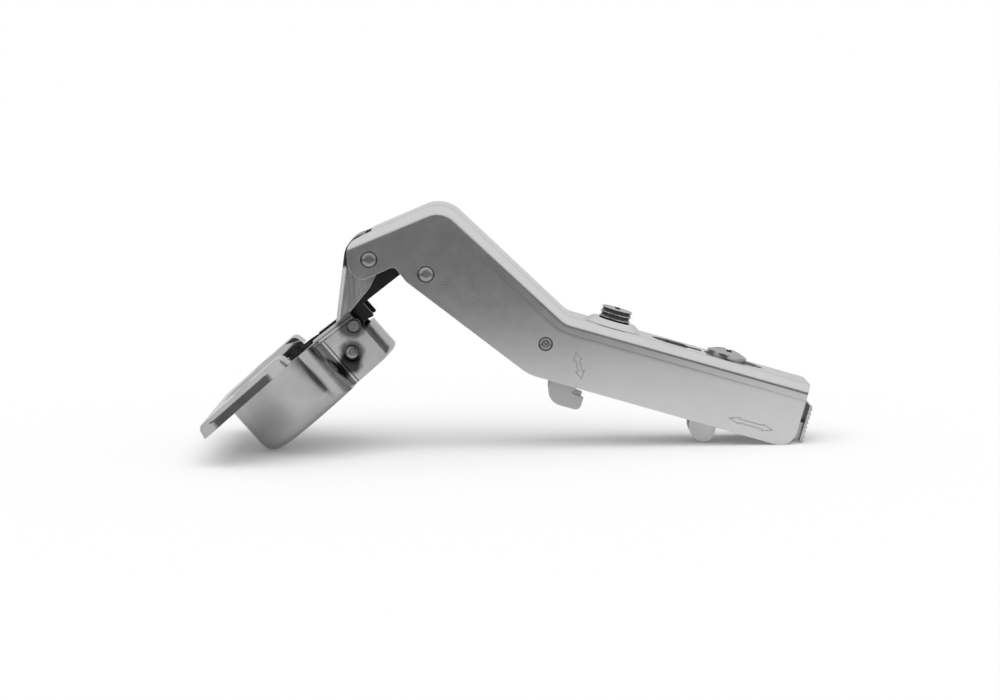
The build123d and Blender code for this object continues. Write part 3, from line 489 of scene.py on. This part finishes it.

# %% [markdown]
# The painted shade on the rims, in the roots of the thread and on the curl has clean edges, so its masks need no
# noise.
# A rim is a ring: two masks of the distance from the rivet's axis, multiplied. The roots of the thread lie nearer
# to the screw's leaning axis than its crests do, and the curl is all that lies above a height.

# %% Painted shade on rims, thread and curl
# painted shade: a dark ring on the rim of each rivet and of the cup's lower pin
RIM_INNER, RIM_OUTER, RIM_SHADE = (0.70, 0.90), (1.4, 1.2), 0.3
rivets = finishes["pin_steel"]
tree = rivets.node_tree
for name in ("arm_front_rivet", "arm_rear_rivet", "carrier_rivet", "cup_lower_pin"):
    low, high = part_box(name)
    radius = (high[0] - low[0]) / 2
    distance = axis_distance(tree, *middle(name)[::2])
    inside = soft_mask(tree, distance, *[share * radius for share in RIM_INNER])
    outside = soft_mask(tree, distance, *[share * radius for share in RIM_OUTER])
    darken(rivets, choose(tree, "MULTIPLY", inside, outside, 0.0), RIM_SHADE)
# painted shade in the roots of the side screw's thread, up to just under its top
SCREW_ALONG, SCREW_HEIGHT = 0.0098, 0.0036
THREAD_ROOT, THREAD_TOP, THREAD_SHADE = (0.00325, 0.0030), (0.0, 0.0002), 0.12
screw = finishes["screw_zinc"]
tree = screw.node_tree
screw_foot = step(knee, SCREW_ALONG, REAR)
screw_top = step(screw_foot, SCREW_HEIGHT, REAR + 90)
root = soft_mask(tree, leaning_radius(tree, screw_foot, REAR + 90), *THREAD_ROOT)
under_top = soft_mask(tree, depth_below(tree, screw_top, REAR), *THREAD_TOP)
darken(screw, choose(tree, "MULTIPLY", root, under_top, 0.0), THREAD_SHADE)
# painted shade on the curled top of the outer link, above a height just under the front pin
CURL_BELOW_PIN, CURL_EDGE, CURL_SHADE = 0.0017, (0.0004, -0.0006), 0.05
link = finishes["link_steel"]
tree = link.node_tree
height = depth_below(tree, (0, pin[2] - CURL_BELOW_PIN), 0)
darken(link, soft_mask(tree, height, *CURL_EDGE), CURL_SHADE)
print("rims, thread and curl darkened by", RIM_SHADE, THREAD_SHADE, CURL_SHADE)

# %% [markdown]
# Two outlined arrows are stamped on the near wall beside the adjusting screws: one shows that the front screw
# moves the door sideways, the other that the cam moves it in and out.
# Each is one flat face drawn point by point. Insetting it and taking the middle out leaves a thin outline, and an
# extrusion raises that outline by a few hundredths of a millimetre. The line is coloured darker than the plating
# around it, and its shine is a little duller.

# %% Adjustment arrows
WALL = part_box("hinge_arm")[0][1]
LINE, SUNK, RAISED = 0.00022, 0.00004, 0.00005
stamped = metal("stamped_line", (0.44, 0.44, 0.44), 0.30)


def double_arrow(name, centre, turn, length, head, wide, narrow):
    """An outlined arrow with a head at both ends, on the near wall of the arm."""
    tip, root = length / 2, length / 2 - head
    side = [(root, wide), (root, narrow), (-root, narrow), (-root, wide)]
    outline = [(tip, 0)] + side + [(-tip, 0)] + [(-a, -b) for a, b in side]
    shape = bmesh.new()
    corners = []
    for along, across in outline:
        x = centre[0] + along * cos(turn) - across * sin(turn)
        z = centre[1] + along * sin(turn) + across * cos(turn)
        corners.append(shape.verts.new((x, WALL + SUNK, z)))
    face = shape.faces.new(corners)
    shape.normal_update()
    inset = bmesh.ops.inset_region(shape, faces=[face], thickness=LINE, use_boundary=True, use_even_offset=True)
    rim = inset["faces"]
    bmesh.ops.delete(shape, geom=[f for f in shape.faces if f not in rim], context="FACES")
    raised = bmesh.ops.extrude_face_region(shape, geom=shape.faces[:])["geom"]
    lifted = [v for v in raised if isinstance(v, bmesh.types.BMVert)]
    bmesh.ops.translate(shape, verts=lifted, vec=(0, -SUNK - RAISED, 0))
    bmesh.ops.recalc_face_normals(shape, faces=shape.faces[:])
    mesh = bpy.data.meshes.new(name)
    shape.to_mesh(mesh)
    shape.free()
    mesh.materials.append(stamped)
    piece = bpy.data.objects.new(name, mesh)
    scene.collection.objects.link(piece)
    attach(piece, "arm")
    print(name, "faces:", len(mesh.polygons))


def on_wall(along, depth):
    """A place on the wall, along the rear run from the knee and down from the roof."""
    return step(step(knee, along, REAR), depth, REAR - 90)


side_sizes = dict(length=0.0060, head=0.0020, wide=0.0011, narrow=0.0005)
depth_sizes = dict(length=0.0099, head=0.0025, wide=0.00085, narrow=0.0005)
double_arrow("side_arrow", on_wall(along=0.0049, depth=0.0092), radians(-79), **side_sizes)
double_arrow("depth_arrow", on_wall(along=0.0423, depth=0.0111), radians(REAR), **depth_sizes)
